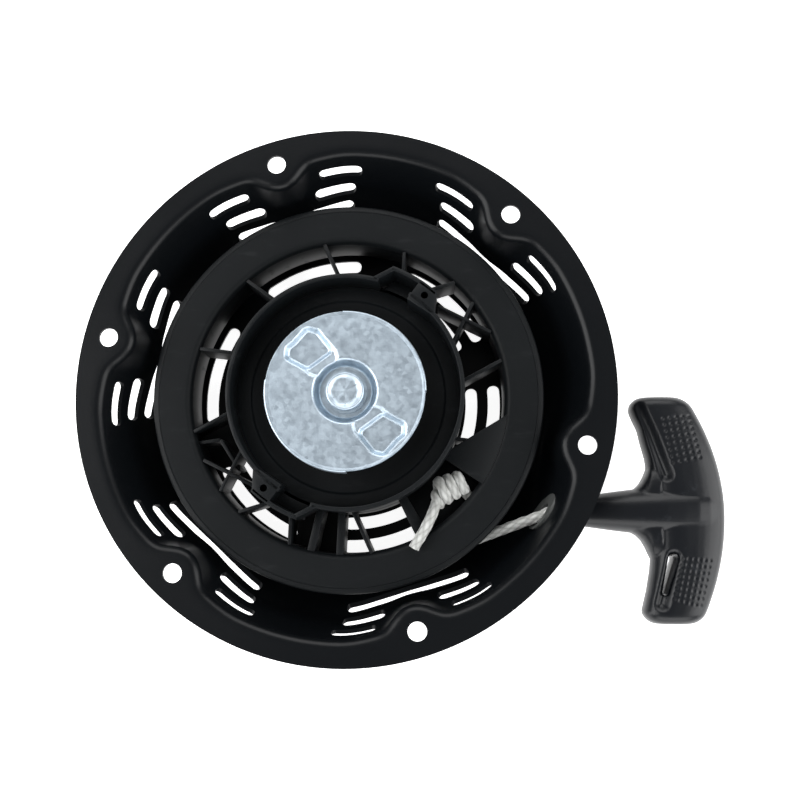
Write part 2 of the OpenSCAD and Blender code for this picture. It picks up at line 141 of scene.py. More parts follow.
def lofted(name, rings):
    # a closed body through rings of points, in mm, that all have the same number of points
    piece = startPiece(name, len(rings[0]), "NGON")
    for corner, point in zip(piece.data.vertices, rings[0]):
        corner.co = Vector(point) * mm
    editMesh(piece)
    bpy.ops.mesh.select_all(action="SELECT")
    for below, ring in zip(rings, rings[1:]):
        bpy.ops.mesh.extrude_region_move()
        shape = bmesh.from_edit_mesh(piece.data)
        top = [v for v in shape.verts if v.select]
        for v in top:
            gaps = [(v.co - Vector(p) * mm).length for p in below]
            v.co = Vector(ring[gaps.index(min(gaps))]) * mm
        bmesh.update_edit_mesh(piece.data)
    leaveOutward()
    return piece


def applied(piece, kind, **settings):
    pick(piece)
    modifier = piece.modifiers.new(kind.title(), kind)
    for key, value in settings.items():
        setattr(modifier, key, value)
    bpy.ops.object.modifier_apply(modifier=modifier.name)
    return piece


def bevelled(piece, width, segments=2, degrees=60):
    return applied(piece, "BEVEL", width=width * mm, segments=segments, limit_method="ANGLE",
                   angle_limit=math.radians(degrees))


def copied(piece, name, place):
    twin = piece.copy()
    twin.data = piece.data.copy()
    twin.name = name
    twin.data.name = name
    bpy.context.collection.objects.link(twin)
    twin.data.transform(place)
    return twin


def joined(pieces):
    deselectAll()
    for piece in pieces:
        piece.select_set(True)
    bpy.context.view_layer.objects.active = pieces[0]
    bpy.ops.object.join()
    return bpy.context.object


def discard(piece):
    bpy.data.objects.remove(piece, do_unlink=True)


def cut(piece, cutters):
    tool = joined(cutters)
    applied(piece, "BOOLEAN", object=tool, operation="DIFFERENCE", solver="EXACT")
    discard(tool)
    return piece


def smoothShade(piece, degrees):
    pick(piece)
    bpy.ops.object.shade_smooth_by_angle(angle=math.radians(degrees))
    return piece


def arcPoints(centre, radius, start, end, count):
    angles = [math.radians(start + (end - start) * i / count) for i in range(count + 1)]
    return [(centre[0] + radius * math.cos(a), centre[1] + radius * math.sin(a)) for a in angles]


def circlePoints(centre, radius, count=48):
    return arcPoints(centre, radius, 0, 360 - 360 / count, count - 1)


def points(piece):
    flat = np.empty(len(piece.data.vertices) * 3)
    piece.data.vertices.foreach_get("co", flat)
    return flat.reshape(-1, 3) / mm


def movePoints(piece, places):
    piece.data.vertices.foreach_set("co", (places * mm).ravel())
    piece.data.update()


def step(value):
    inside = np.clip(value, 0.0, 1.0)
    return inside * inside * (3 - 2 * inside)


def segmentGap(x, y, start, end):
    # distance from points to a straight line between two corners
    (ax, ay), (bx, by) = start, end
    ex, ey = bx - ax, by - ay
    along = np.clip(((x - ax) * ex + (y - ay) * ey) / (ex * ex + ey * ey), 0, 1)
    return np.hypot(x - ax - along * ex, y - ay - along * ey)


def softMax(first, second, blend):
    overlap = np.maximum(blend - np.abs(first - second), 0) / blend
    return np.maximum(first, second) + overlap * overlap * blend / 4


camera = {
    "place": (0.039579, -0.067389, 0.455894),
    "turn": (7.865, 1.897, 0.0),
    "lens": 47.08,
}

lights = [
    # name, place, width and depth in metres, power, aimed at
    ("leftBox", (-0.75, -0.05, 0.42), (0.9, 0.9), 12.0, (0.0, 0.0, -0.02)),
    ("rightBox", (0.85, -0.15, 0.42), (0.9, 0.9), 11.0, (0.05, -0.03, -0.02)),
    ("lowerBox", (0.1, -0.95, 0.40), (1.2, 0.7), 9.0, (0.03, 0.0, -0.02)),
    ("upperBox", (0.0, 0.85, 0.55), (1.2, 0.7), 9.0, (0.03, 0.0, -0.02)),
]


def makeCamera():
    deselectAll()
    bpy.ops.object.camera_add(location=camera["place"])
    eye = bpy.context.object
    eye.rotation_euler = [math.radians(a) for a in camera["turn"]]
    eye.data.lens = camera["lens"]
    eye.data.sensor_width = 36.0
    eye.data.clip_start = 0.01
    bpy.context.scene.camera = eye


def makeLights():
    for name, place, size, power, target in lights:
        deselectAll()
        bpy.ops.object.light_add(type="AREA", location=place)
        lamp = bpy.context.object
        lamp.name = name
        lamp.data.shape = "RECTANGLE"
        lamp.data.size, lamp.data.size_y = size
        lamp.data.energy = power
        lamp.rotation_euler = (Vector(target) - Vector(place)).to_track_quat("-Z", "Y").to_euler()
    world = bpy.data.worlds.new("studio")
    world.use_nodes = True
    world.node_tree.nodes["Background"].inputs["Color"].default_value = (1.0, 1.0, 1.0, 1.0)
    world.node_tree.nodes["Background"].inputs["Strength"].default_value = 0.2
    bpy.context.scene.world = world
    bpy.context.scene.view_settings.view_transform = "Standard"


class Wire:
    # one socket of a material: plain maths on it adds the Math nodes
    def __init__(self, finish, socket):
        self.finish = finish
        self.socket = socket

    def maths(self, operation, *terms):
        return self.finish.node("Math", {"operation": operation}, dict(enumerate(terms)))

    def __add__(self, other):
        return self.maths("ADD", self, other)

    def __mul__(self, other):
        return self.maths("MULTIPLY", self, other)

    __radd__ = __add__
    __rmul__ = __mul__


class Finish:
    # one procedural material
    def __init__(self, name, colour, roughness, metallic=0.0):
        self.material = bpy.data.materials.new(name)
        self.material.use_nodes = True
        self.nodes = self.material.node_tree.nodes
        self.shader = self.nodes["Principled BSDF"]
        self.put("Base Color", colour)
        self.put("Roughness", roughness)
        self.put("Metallic", metallic)

    def feed(self, socket, value):
        if isinstance(value, Wire):
            self.material.node_tree.links.new(value.socket, socket)
        elif isinstance(value, tuple) and len(value) == 3 and socket.type == "RGBA":
            socket.default_value = (*value, 1.0)
        else:
            socket.default_value = value

    def put(self, name, value):
        self.feed(self.shader.inputs[name], value)

    def node(self, kind, settings=None, inputs=None, output=0):
        made = self.nodes.new("ShaderNode" + kind)
        for key, value in (settings or {}).items():
            if key == "stops":
                ramp = made.color_ramp
                while len(ramp.elements) < len(value):
                    ramp.elements.new(1.0)
                for element, (place, level) in zip(ramp.elements, value):
                    element.position = place
                    element.color = (level, level, level, 1.0)
            else:
                setattr(made, key, value)
        for key, value in (inputs or {}).items():
            self.feed(made.inputs[key], value)
        return Wire(self, made.outputs[output])

    def place(self):
        return self.node("TexCoord", output=3)

    def noise(self, scale, detail=3.0, rough=0.5, at=None):
        inputs = {"Vector": at or self.place(), "Scale": scale, "Detail": detail,
                  "Roughness": rough}
        return self.node("TexNoise", None, inputs)

    def ramp(self, value, *stops):
        return self.node("ValToRGB", {"stops": stops}, {"Fac": value})

    def tint(self, factor, first, second):
        return self.node("Mix", {"data_type": "RGBA"}, {0: factor, 6: first, 7: second}, 2)

    def bump(self, height, distance, strength=1.0):
        inputs = {"Height": height, "Distance": distance, "Strength": strength}
        self.put("Normal", self.node("Bump", None, inputs))

    def stretched(self, scale, turn=(0, 0, 0)):
        inputs = {"Vector": self.place(), "Scale": scale, "Rotation": turn}
        return self.node("Mapping", None, inputs)


def paintedSteel():
    # satin black powder paint with a fine orange peel, a little dust and rubbed spots
    finish = Finish("satinBlackPaint", (0.011, 0.011, 0.013), 0.4)
    dust = finish.ramp(finish.noise(2300, 2), (0.66, 0.0), (0.78, 1.0))
    cloud = finish.noise(22, 4)
    finish.put("Base Color", finish.tint(dust * 0.35,
                                         (0.0022, 0.0028, 0.0036), (0.02, 0.021, 0.023)))
    finish.put("Roughness", 0.27 + cloud * 0.12 + dust * 0.12)
    peel = finish.noise(850, 2) + finish.noise(2600, 1) * 0.35
    finish.bump(peel, 0.00005, 0.55)
    finish.put("Specular IOR Level", 0.2)
    return finish.material


def reelPlastic():
    # matte black moulded plastic: fine grain, faint turning marks on the flange, light scuffs
    finish = Finish("mouldedBlackPlastic", (0.014, 0.015, 0.018), 0.5)
    scuff = finish.ramp(finish.noise(60, 6, 0.7, finish.stretched((1.0, 4.0, 1.0), (0, 0, 0.6))),
                        (0.58, 0.0), (0.72, 1.0))
    speck = finish.ramp(finish.noise(1700, 2), (0.70, 0.0), (0.78, 1.0))
    x = finish.node("SeparateXYZ", None, {0: finish.place()})
    y = finish.node("SeparateXYZ", None, {0: finish.place()}, 1)
    squares = x * x + y * y
    radius = squares.maths("SQRT", squares)
    rings = finish.node("TexNoise", {"noise_dimensions": "1D"}, {"W": radius, "Scale": 2400.0})
    finish.put("Base Color", finish.tint(scuff * 0.25 + speck * 0.5,
                                         (0.0030, 0.0040, 0.0048), (0.02, 0.022, 0.024)))
    finish.put("Specular IOR Level", 0.2)
    finish.put("Roughness", 0.42 + scuff * 0.16 + finish.noise(35, 3) * 0.1)
    finish.bump(finish.noise(1500, 3) * 0.6 + rings * 0.5, 0.00004, 0.6)
    return finish.material


def zincPlate():
    # bright zinc with a mottled spangle, faint rolling lines and a few fine scratches
    finish = Finish("brightZinc", (0.5, 0.56, 0.62), 0.38, 1.0)
    grain = finish.node("TexVoronoi", {"feature": "F1"},
                        {"Vector": finish.place(), "Scale": 520.0}, 1)
    level = finish.node("SeparateColor", None, {0: grain})
    mottle = finish.noise(260, 5, 0.65)
    rolled = finish.noise(140, 4, 0.6, finish.stretched((1.0, 14.0, 1.0), (0, 0, 1.1)))
    scratch = finish.ramp(finish.noise(90, 3, 0.5, finish.stretched((1.0, 60.0, 1.0), (0, 0, 0.4))),
                          (0.70, 0.0), (0.74, 1.0))
    shade = level * 0.25 + mottle * 0.55 + rolled * 0.2
    finish.put("Base Color", finish.tint(shade, (0.36, 0.435, 0.51), (0.60, 0.69, 0.76)))
    finish.put("Roughness", 0.33 + mottle * 0.2 + level * 0.06 + scratch * 0.1)
    finish.bump(mottle * 0.6 + scratch * 0.5 + rolled * 0.3, 0.00003, 0.5)
    return finish.material


def turnedSteel(name, colour, rough):
    finish = Finish(name, colour, rough, 1.0)
    lines = finish.noise(700, 3, 0.6, finish.stretched((1.0, 1.0, 9.0)))
    stain = finish.noise(80, 4)
    finish.put("Base Color", finish.tint(stain, colour, tuple(c * 0.62 for c in colour)))
    finish.put("Roughness", rough + lines * 0.12 + stain * 0.1)
    finish.bump(lines, 0.00002, 0.5)
    return finish.material


def gripPlastic():
    # satin black moulded plastic, slightly bluish, with a fine eroded grain
    finish = Finish("gripPlastic", (0.020, 0.022, 0.026), 0.36)
    cloud = finish.noise(45, 4)
    grain = finish.noise(1900, 3, 0.6)
    wear = finish.ramp(finish.noise(150, 6, 0.7), (0.60, 0.0), (0.74, 1.0))
    finish.put("Base Color", finish.tint(wear * 0.5,
                                         (0.0036, 0.0044, 0.0060), (0.02, 0.023, 0.028)))
    finish.put("Roughness", 0.28 + cloud * 0.12 + wear * 0.08)
    finish.put("Specular IOR Level", 0.3)
    finish.bump(grain + finish.noise(420, 3) * 0.6, 0.00005, 0.55)
    return finish.material


def guidePlastic():
    finish = Finish("guidePlastic", (0.36, 0.37, 0.36), 0.45)
    cloud = finish.noise(120, 4)
    finish.put("Base Color", finish.tint(cloud, (0.035, 0.038, 0.037), (0.06, 0.063, 0.061)))
    finish.put("Roughness", 0.4 + cloud * 0.15)
    finish.bump(finish.noise(1500, 2), 0.00004, 0.5)
    return finish.material


def ropeFabric():
    # white braided nylon with fibres and a little soiling; painted shade darkens the crevices where
    # strands dive under
    finish = Finish("braidedNylon", (0.8, 0.8, 0.77), 0.62)
    valley = finish.node("Attribute", {"attribute_name": "valley"}, None, 2)
    fibre = finish.noise(3200, 3, 0.6)
    soil = finish.noise(160, 5, 0.6)
    fresh = finish.tint(fibre, (0.42, 0.43, 0.42), (0.66, 0.67, 0.65))
    aged = finish.tint(finish.ramp(soil, (0.52, 0.0), (0.72, 0.55)), fresh, (0.34, 0.34, 0.31))
    # painted shade: the colour goes dark in the braid's crevices, where strands dive under
    finish.put("Base Color", finish.tint(valley * 0.75, aged, (0.12, 0.12, 0.11)))
    finish.put("Roughness", 0.55 + fibre * 0.2)
    finish.put("Sheen Weight", 0.25)
    finish.bump(fibre, 0.00008, 0.7)
    return finish.material


def floorFinish():
    finish = Finish("paleFloor", (0.9, 0.9, 0.9), 0.9)
    finish.put("Emission Color", (1.0, 1.0, 1.0))
    finish.put("Emission Strength", 0.92)
    return finish.material


def makeFloor():
    deselectAll()
    bpy.ops.mesh.primitive_plane_add(size=12.0)
    floor = bpy.context.object
    floor.name = "floor"
    floor.data.transform(Matrix.Translation((0, 0, cadLow.z - 0.0004)))
    floor.data.materials.append(floorFinish())


def finished(piece, material, slotName, body, *replaced):
    # the material, the record's slot (not used), the CAD nodes it stands for and the body it rides
    # on
    piece.data.materials.clear()
    piece.data.materials.append(material)
    if replaced:
        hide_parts(*replaced)
    if body:
        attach(piece, body)
    return piece


caseSizes = {
    "rim": 120.0, "sheet": 1.6, "firstBolt": -13.0, "boltCircle": 109.0, "boltHole": 4.2,
    "lipBend": 4.0, "lipCentre": 111.96, "wallLean": 12.0,
    "cornerBend": 30.0, "cornerRadius": 74.66, "cornerHeight": -16.0,
    "panRadius": 48.0, "panRise": 1.6, "centreHole": 7.0,
    "pocket": 11.5, "pocketBlend": 7.0, "facetTop": 13.5, "facetLow": 17.4, "facetBlend": 2.5,
    "outletHole": 8.0, "outletY": -52.5, "outletHeight": -22.0,
    # height, width and radius of a row of slots, its angle from a bolt and the angle it spans
    "slotRows": ((-13.4, 8.0, 106.0, 15.0, 10.8), (-13.4, 8.0, 106.0, -15.0, 10.8),
                 (-27.0, 6.6, 103.0, 12.85, 10.9), (-27.0, 6.6, 103.0, -12.85, 10.9),
                 (-35.6, 4.6, 98.3, 0.0, 34.8)),
    # inner and outer radius of the curved slots in the back, and half the angle they span
    "ringSlots": ((65.4, 71.2), (54.7, 60.3)), "ringSlotHalf": 20.3,
}


def wallRadius(angle, height, plain):
    # where the wall stands at an angle and height once the bolt pockets are pressed in
    size = caseSizes
    away = np.radians((np.degrees(angle) - size["firstBolt"] + 30.0) % 60.0 - 30.0)
    # below each pocket the wall runs straight across, and further down it does so for longer
    deep = np.clip((-height - 12) / 22, 0, 1)
    facetHalf = np.radians(size["facetTop"] + (size["facetLow"] - size["facetTop"]) * deep ** 2)
    facet = plain * np.cos(facetHalf)
    pocket = size["pocket"]
    low = np.full(plain.shape, 50.0)
    high = plain.copy()
    for _ in range(34):
        middle = (low + high) / 2
        across = np.hypot(middle * np.cos(away) - size["boltCircle"], middle * np.sin(away))
        wall = softMax(middle - plain, middle * np.cos(away) - facet, size["facetBlend"])
        inside = softMax(wall, pocket - across, size["pocketBlend"]) < 0
        low = np.where(inside, middle, low)
        high = np.where(inside, high, middle)
    return (low + high) / 2


def caseProfile():
    size = caseSizes
    lean = size["wallLean"]
    flangeEnd = size["lipCentre"]
    flange = [(size["rim"] - (size["rim"] - flangeEnd) * i / 4, 0.0) for i in range(4)]
    lip = arcPoints((flangeEnd, -size["lipBend"]), size["lipBend"], 90, 180 - lean, 7)
    corner = arcPoints((size["cornerRadius"], size["cornerHeight"]), size["cornerBend"],
                       -lean, -90, 18)
    wall = [tuple(np.array(lip[-1]) + (np.array(corner[0]) - np.array(lip[-1])) * i / 12)
            for i in range(1, 12)]
    floor = corner[-1][1]
    back = [(r, floor) for r in (70, 65, 60, 55, 51)]
    rise = [(size["panRadius"] + 2.0 - 4.0 * i / 6, floor + size["panRise"] * float(step(i / 6)))
            for i in range(7)]
    pan = [(r, floor + size["panRise"]) for r in (40, 30, 20, 12, size["centreHole"])]
    return flange, lip, wall + corner, back + rise + pan


def pressPockets(sheet):
    # slides the wall, lip and flange inwards round each bolt
    size = caseSizes
    _, lip, _, inner = caseProfile()
    start = points(sheet)
    angle = np.arctan2(start[:, 1], start[:, 0])
    radius = np.hypot(start[:, 0], start[:, 1])
    height = start[:, 2]
    moved = wallRadius(angle, height, radius)
    bend = size["lipBend"]
    reach = bend * math.cos(math.radians(size["wallLean"]))
    top = np.full(radius.shape, lip[-1][1])
    line = np.full(radius.shape, lip[-1][0])
    turn = 0.002
    here = wallRadius(angle, top, line)
    before = wallRadius(angle - turn, top, line)
    after = wallRadius(angle + turn, top, line)
    foot = np.stack([here * np.cos(angle), here * np.sin(angle)], 1)
    tangent = np.stack([after * np.cos(angle + turn) - before * np.cos(angle - turn),
                        after * np.sin(angle + turn) - before * np.sin(angle - turn)], 1)
    outward = np.stack([tangent[:, 1], -tangent[:, 0]], 1)
    outward /= np.linalg.norm(outward, axis=1)[:, None]
    lean = np.arccos(np.clip((radius - size["lipCentre"]) / bend, -1, 1))
    edge = foot + outward * reach
    rim = np.stack([np.cos(angle), np.sin(angle)], 1) * size["rim"]
    share = np.clip((radius - size["lipCentre"]) / (size["rim"] - size["lipCentre"]), 0, 1)
    flat = edge + (rim - edge) * share[:, None]
    curved = foot + outward * (reach + bend * np.cos(lean))[:, None]
    onFlange = radius > size["lipCentre"] - 0.001
    onLip = ~onFlange & (height > lip[-1][1] - 0.001)
    onWall = ~onFlange & ~onLip & (height > inner[0][1] + 0.001)
    plan = start[:, :2].copy()
    plan[onFlange] = flat[onFlange]
    plan[onLip] = curved[onLip]
    turned = np.stack([np.cos(angle), np.sin(angle)], 1) * moved[:, None]
    plan[onWall] = turned[onWall]
    movePoints(sheet, np.column_stack([plan, height]))


def slotOutline(length, width):
    # a slot with blunt, well rounded ends
    soft = min(2.5, width / 2 - 0.01)
    x, y = length / 2 - soft, width / 2 - soft
    return (arcPoints((x, y), soft, 0, 90, 5) + arcPoints((-x, y), soft, 90, 180, 5)
            + arcPoints((-x, -y), soft, 180, 270, 5) + arcPoints((x, -y), soft, 270, 360, 5))


def ringSlotOutline(inner, outer, half):
    # a curved slot round the Z axis with well rounded corners
    soft = 2.6
    outline = []
    for radius, side, turn in ((inner + soft, -1, 180), (outer - soft, -1, 270),
                               (outer - soft, 1, 0), (inner + soft, 1, 90)):
        at = math.radians(side * half) - side * soft / radius
        centre = (radius * math.cos(at), radius * math.sin(at))
        lean = math.degrees(at)
        outline.append(arcPoints(centre, soft, turn + lean, turn + 90 + lean, 4))
    steps = range(1, 12)
    sweep = half - math.degrees(soft / outer)
    outerEdge = [(outer * math.cos(math.radians(a)), outer * math.sin(math.radians(a)))
                 for a in (-sweep + 2 * sweep * i / 12 for i in steps)]
    sweep = half - math.degrees(soft / inner)
    innerEdge = [(inner * math.cos(math.radians(a)), inner * math.sin(math.radians(a)))
                 for a in (sweep - 2 * sweep * i / 12 for i in steps)]
    return outline[0] + outline[1] + outerEdge + outline[2] + outline[3] + innerEdge


def caseCutters():
    size = caseSizes
    cutters = []
    upright = Matrix(((0, 0, 1, 0), (1, 0, 0, 0), (0, 1, 0, 0), (0, 0, 0, 1)))
    for row, (height, width, radius, middle, span) in enumerate(size["slotRows"]):
        length = 2 * radius * math.sin(math.radians(span / 2))
        bar = extruded("slotBar", slotOutline(length, width), radius - 12, radius + 12)
        bar.data.transform(Matrix.Translation((0, 0, height * mm)) @ upright)
        for bolt in range(1, 6):
            turn = math.radians(size["firstBolt"] + 60 * bolt + middle)
            cutters.append(copied(bar, f"slot{row}{bolt}", Matrix.Rotation(turn, 4, "Z")))
        discard(bar)
    for inner, outer in size["ringSlots"]:
        bar = extruded("ringBar", ringSlotOutline(inner, outer, size["ringSlotHalf"]), -52, -40)
        for bolt in range(6):
            turn = math.radians(size["firstBolt"] + 60 * bolt)
            cutters.append(copied(bar, f"ring{bolt}", Matrix.Rotation(turn, 4, "Z")))
        discard(bar)
    for bolt in range(6):
        at = math.radians(size["firstBolt"] + 60 * bolt)
        centre = (size["boltCircle"] * math.cos(at), size["boltCircle"] * math.sin(at))
        hole = circlePoints(centre, size["boltHole"])
        cutters.append(extruded(f"hole{bolt}", hole, -5, 5))
    outlet = extruded("outlet", circlePoints((0, 0), size["outletHole"] + 0.1), 80, 125)
    sideways = Matrix(((0, 0, 1, 0), (1, 0, 0, size["outletY"] * mm),
                       (0, 1, 0, size["outletHeight"] * mm), (0, 0, 0, 1)))
    outlet.data.transform(sideways)
    cutters.append(outlet)
    return cutters


def makeCase(material):
    flange, lip, wall, inner = caseProfile()
    case = spun("starterCase", flange + lip + wall + inner, 480)
    pressPockets(case)
    editMesh(case)
    leaveOutward()
    outer = max(case.data.polygons, key=lambda face: face.center.xy.length)
    if outer.normal.z < 0:
        flipFaces(case)
    applied(case, "SOLIDIFY", thickness=caseSizes["sheet"] * mm, offset=-1.0, use_even_offset=False)
    bevelled(case, 0.4)
    cut(case, caseCutters())
    smoothShade(case, 38)
    finished(case, material, "painted_steel", "case", "case")
    print("case:", len(case.data.polygons), "faces")


def edged(node, name, width, segments, material, slotName, body):
    # a merged copy of a CAD piece with its edges rounded off
    twin = copied(nodes[node], name, Matrix.Identity(4))
    twin.parent = None
    twin.matrix_world = Matrix.Identity(4)
    twin.hide_render = False
    editMesh(twin)
    bpy.ops.mesh.select_all(action="SELECT")
    bpy.ops.mesh.remove_doubles(threshold=2e-6)
    bpy.ops.mesh.dissolve_limited(angle_limit=math.radians(0.6))
    bpy.ops.mesh.normals_make_consistent(inside=False)
    leaveEdit()
    bevelled(twin, width, segments, 32)
    smoothShade(twin, 40)
    finished(twin, material, slotName, body, node)
    print(name + ":", len(twin.data.polygons), "faces")
    return twin


reelSizes = {
    "bore": 9.05, "sleeve": 14.0, "seat": 33.0, "seatTop": -12.0, "webTop": -18.5, "webLow": -21.5,
    "ringIn": 51.2, "ringOut": 53.2, "ringRear": -44.0, "rim": -0.4,
    "earIn": 58.4, "earOut": 60.4, "earFloor": -22.0,
    "grooveIn": 71.6, "groove": 74.2, "edge": 89.5,
    "front": -16.0, "frontLow": -18.5, "rear": -37.0, "rearTop": -34.5,
    "rib": 1.6, "pawlAngle": 100.0, "pawlRadius": 25.0, "softEdge": 0.35,
}


def polar(angle, radius):
    turn = math.radians(angle)
    return radius * math.cos(turn), radius * math.sin(turn)


def bandOutline(inner, outer, start, end):
    count = max(2, round(abs(end - start) / 2))
    return (arcPoints((0, 0), outer, start, end, count)
            + arcPoints((0, 0), inner, end, start, count))


def wallOutline(start, end, thick):
    run = Vector(end) - Vector(start)
    side = Vector((-run.y, run.x)).normalized() * thick / 2
    first, last = Vector(start), Vector(end)
    return [tuple(first + side), tuple(first - side), tuple(last - side), tuple(last + side)]


def softened(piece, width=None):
    return bevelled(piece, width or reelSizes["softEdge"], 2, 35)


def wall(made, name, outline, low, high):
    made.append(softened(extruded(name, outline, low, high)))


def reelTurnings():
    # sleeve with seat and web, groove wall and the two rope flanges
    size = reelSizes
    seat, web, top, low = size["seat"], size["webTop"], size["seatTop"], size["webLow"]
    middle = [(size["bore"], -24), (size["sleeve"], -24), (size["sleeve"], -14.5),
              (seat - 2.5, -14.5), (seat - 2.5, low), (size["ringOut"] - 0.5, low),
              (size["ringOut"] - 0.5, web), (45, web), (44.2, web - 1), (seat, web - 1),
              (seat, top), (10.3, top), (10.3, -8.2), (size["bore"], -8.2)]
    edge, front, frontLow = size["edge"], size["front"], size["frontLow"]
    flange = (arcPoints((size["grooveIn"] + 3.2, front - 3.2), 3.2, 180, 90, 8)
              + [(edge - 2.9, front), (edge - 2.65, front - 0.25), (edge - 2.4, front - 0.05),
                 (edge - 0.7, front - 0.25), (edge - 0.2, front - 0.6), (edge, front - 1.1),
                 (edge, frontLow), (size["grooveIn"], frontLow - 1.2)])
    rear, rearTop = size["rear"], size["rearTop"]
    wall = [(size["grooveIn"], rear), (edge, rear), (edge, rearTop), (size["groove"], rearTop),
            (size["groove"], frontLow + 0.4), (size["grooveIn"], frontLow + 0.4)]
    made = [softened(spun("sleeveAndWeb", middle, 180, closed=True)),
            spun("frontFlange", flange, 240, closed=True),
            softened(spun("grooveWall", wall, 240, closed=True))]
    drum = made[-1]
    hole = extruded("ropeHole", circlePoints((0, 0), 3, 24), size["grooveIn"] - 3,
                    size["groove"] + 3)
    radial = (Matrix.Rotation(math.radians(320), 4, "Z")
              @ Matrix.Translation((0, 0, -23.4 * mm)) @ Matrix.Rotation(math.pi / 2, 4, "Y"))
    hole.data.transform(radial)
    cut(drum, [hole])
    return made


def reelHalf(turn, ribs):
    # one ear with its screw boss, and the ribs out to the groove wall
    size = reelSizes
    made = []
    floor, rim = size["earFloor"], size["rim"]
    wall(made, "ear", bandOutline(size["earIn"], size["earOut"], 47 + turn, 69.5 + turn),
         floor, rim)
    wall(made, "earStep", wallOutline(polar(76 + turn, 52.2), polar(68.6 + turn, 59.4), 2),
         floor, rim)
    wall(made, "earFloor", bandOutline(51.9, 59.7, 48 + turn, 71 + turn),
         floor + 0.2, size["webTop"])
    wall(made, "ring", bandOutline(size["ringIn"], size["ringOut"], 73.5 + turn, 237 + turn),
         size["webTop"] - 1, rim)
    corners = ((56.5, 49.6), (56, 60.1), (47.5, 60.2), (40.5, 52.8), (43, 50.9))
    boss = extruded("screwBoss", [polar(a + turn, r) for a, r in corners], floor, rim)
    softened(boss, 0.5)
    pilot = extruded("pilotHole", circlePoints(polar(50.5 + turn, 55.6), 1.65, 24), -13, 5)
    made.append(cut(boss, [pilot]))
    for start, end, inner in ribs:
        outline = wallOutline(polar(start + turn, inner - 0.4), polar(end + turn, 72.2),
                              size["rib"])
        wall(made, "rib", outline, size["rear"] + 1, size["front"] - 0.5)
    wall(made, "longRib", wallOutline(polar(45 + turn, 58.7), polar(24 + turn, 71.9), size["rib"]),
         size["rear"] + 1, size["front"] - 0.3)
    return made


def reelExtras():
    # posts, the small box and the pocket that holds the rope's knot
    size = reelSizes
    made = []
    for angle in (257, 267.5):
        wall(made, "post", wallOutline(polar(angle, 52.9), polar(angle, 72.2), 3.4), -36, -17.5)
    wall(made, "boxSide", wallOutline(polar(197, 72.2), polar(198.5, 62), size["rib"]), -36, -20)
    wall(made, "boxEnd", wallOutline(polar(198.5, 62), polar(214, 60), size["rib"]), -36, -20)
    inner, outer, front, low = 52.9, 73.2, size["front"], size["frontLow"]
    wall(made, "pocketLeft", bandOutline(inner, outer, 296, 300.5), low, front)
    slant = (arcPoints((0, 0), outer, 326.5, 353, 14) + [polar(331, 52.2)]
             + arcPoints((0, 0), inner, 331, 326.5, 2)[1:])
    wall(made, "pocketRight", slant, low, front)
    wall(made, "pocketFloor", bandOutline(53.0, 72.9, 299.6, 327.4), -28.6, -27)
    for start, end in ((299, 300.5), (326.5, 328)):
        wall(made, "pocketWall", bandOutline(inner, outer, start, end), -28.8, front - 0.1)
    for angle in (size["pawlAngle"], size["pawlAngle"] + 180):
        centre = polar(angle, size["pawlRadius"])
        wall(made, "pawlBoss", circlePoints(centre, 5), -22, -14)
    ring = [(size["ringIn"], size["ringRear"]), (size["ringOut"], size["ringRear"]),
            (size["ringOut"], size["webTop"]), (size["ringIn"], size["webTop"])]
    made.append(softened(spun("ringRear", ring, 180, closed=True)))
    return made


def makeReel(material):
    # the second half has no rib where the rope's knot lies, so the list's last one is left out
    ring, ear = reelSizes["ringOut"], reelSizes["earOut"]
    ribs = [(93, 99, ring), (158, 162, ring), (7, 13, ring), (65, 69, ear), (54, 47, ear),
            (26, 37, ring), (126, 131, ring)]
    pieces = reelTurnings() + reelHalf(0, ribs) + reelHalf(180, ribs[:-1]) + reelExtras()
    reel = joined(pieces)
    reel.name = reel.data.name = "ropeReel"
    smoothShade(reel, 38)
    finished(reel, material, "reel_plastic", "reel", "reel")
    print("reel:", len(reel.data.polygons), "faces")


plateSizes = {
    "hole": 5.6, "edge": 35.4, "skirtEdge": 36.2, "top": -0.4, "sheet": 1.5,
    "skirts": ((0.0, 92.0), (172.0, 271.0)),
    "cupRim": 15.2, "cupFoot": 11.5, "cupDepth": 5.6,
    "basinDepth": 3.5, "basinSlope": 3.0, "neckDepth": 1.5,
    "basin": ((-5.2, 18.3), (-11.6, 27.9), (-15.5, 29.3), (-25.2, 20.6), (-27.4, 17.4),
              (-27.1, 14.4), (-16.3, 9.0)),
    "neck": ((-2.5, 15.5), (-3.6, 19.0), (-9.0, 24.0), (-22.0, 13.0), (-17.0, 7.0), (-13.6, 5.6)),
}


def outlineGap(x, y, outline):
    # signed distance from points to a closed outline, negative inside
    nearest = np.full(x.shape, 1e9)
    inside = np.zeros(x.shape, bool)
    for (ax, ay), (bx, by) in zip(outline, outline[1:] + outline[:1]):
        nearest = np.minimum(nearest, segmentGap(x, y, (ax, ay), (bx, by)))
        crosses = (ay > y) != (by > y)
        rise = by - ay
        run = (bx - ax) * (y - ay) / (rise if abs(rise) > 1e-9 else 1e-9) + ax
        inside ^= crosses & (x < run)
    return np.where(inside, -nearest, nearest)


def roundGap(x, y, outline, soft):
    # the same outline with its corners rounded off
    middle = np.mean(outline, axis=0)
    inner = []
    for corner in outline:
        out = np.array(corner) - middle
        inner.append(tuple(middle + out * (1 - soft * 1.2 / np.linalg.norm(out))))
    return outlineGap(x, y, inner) - soft


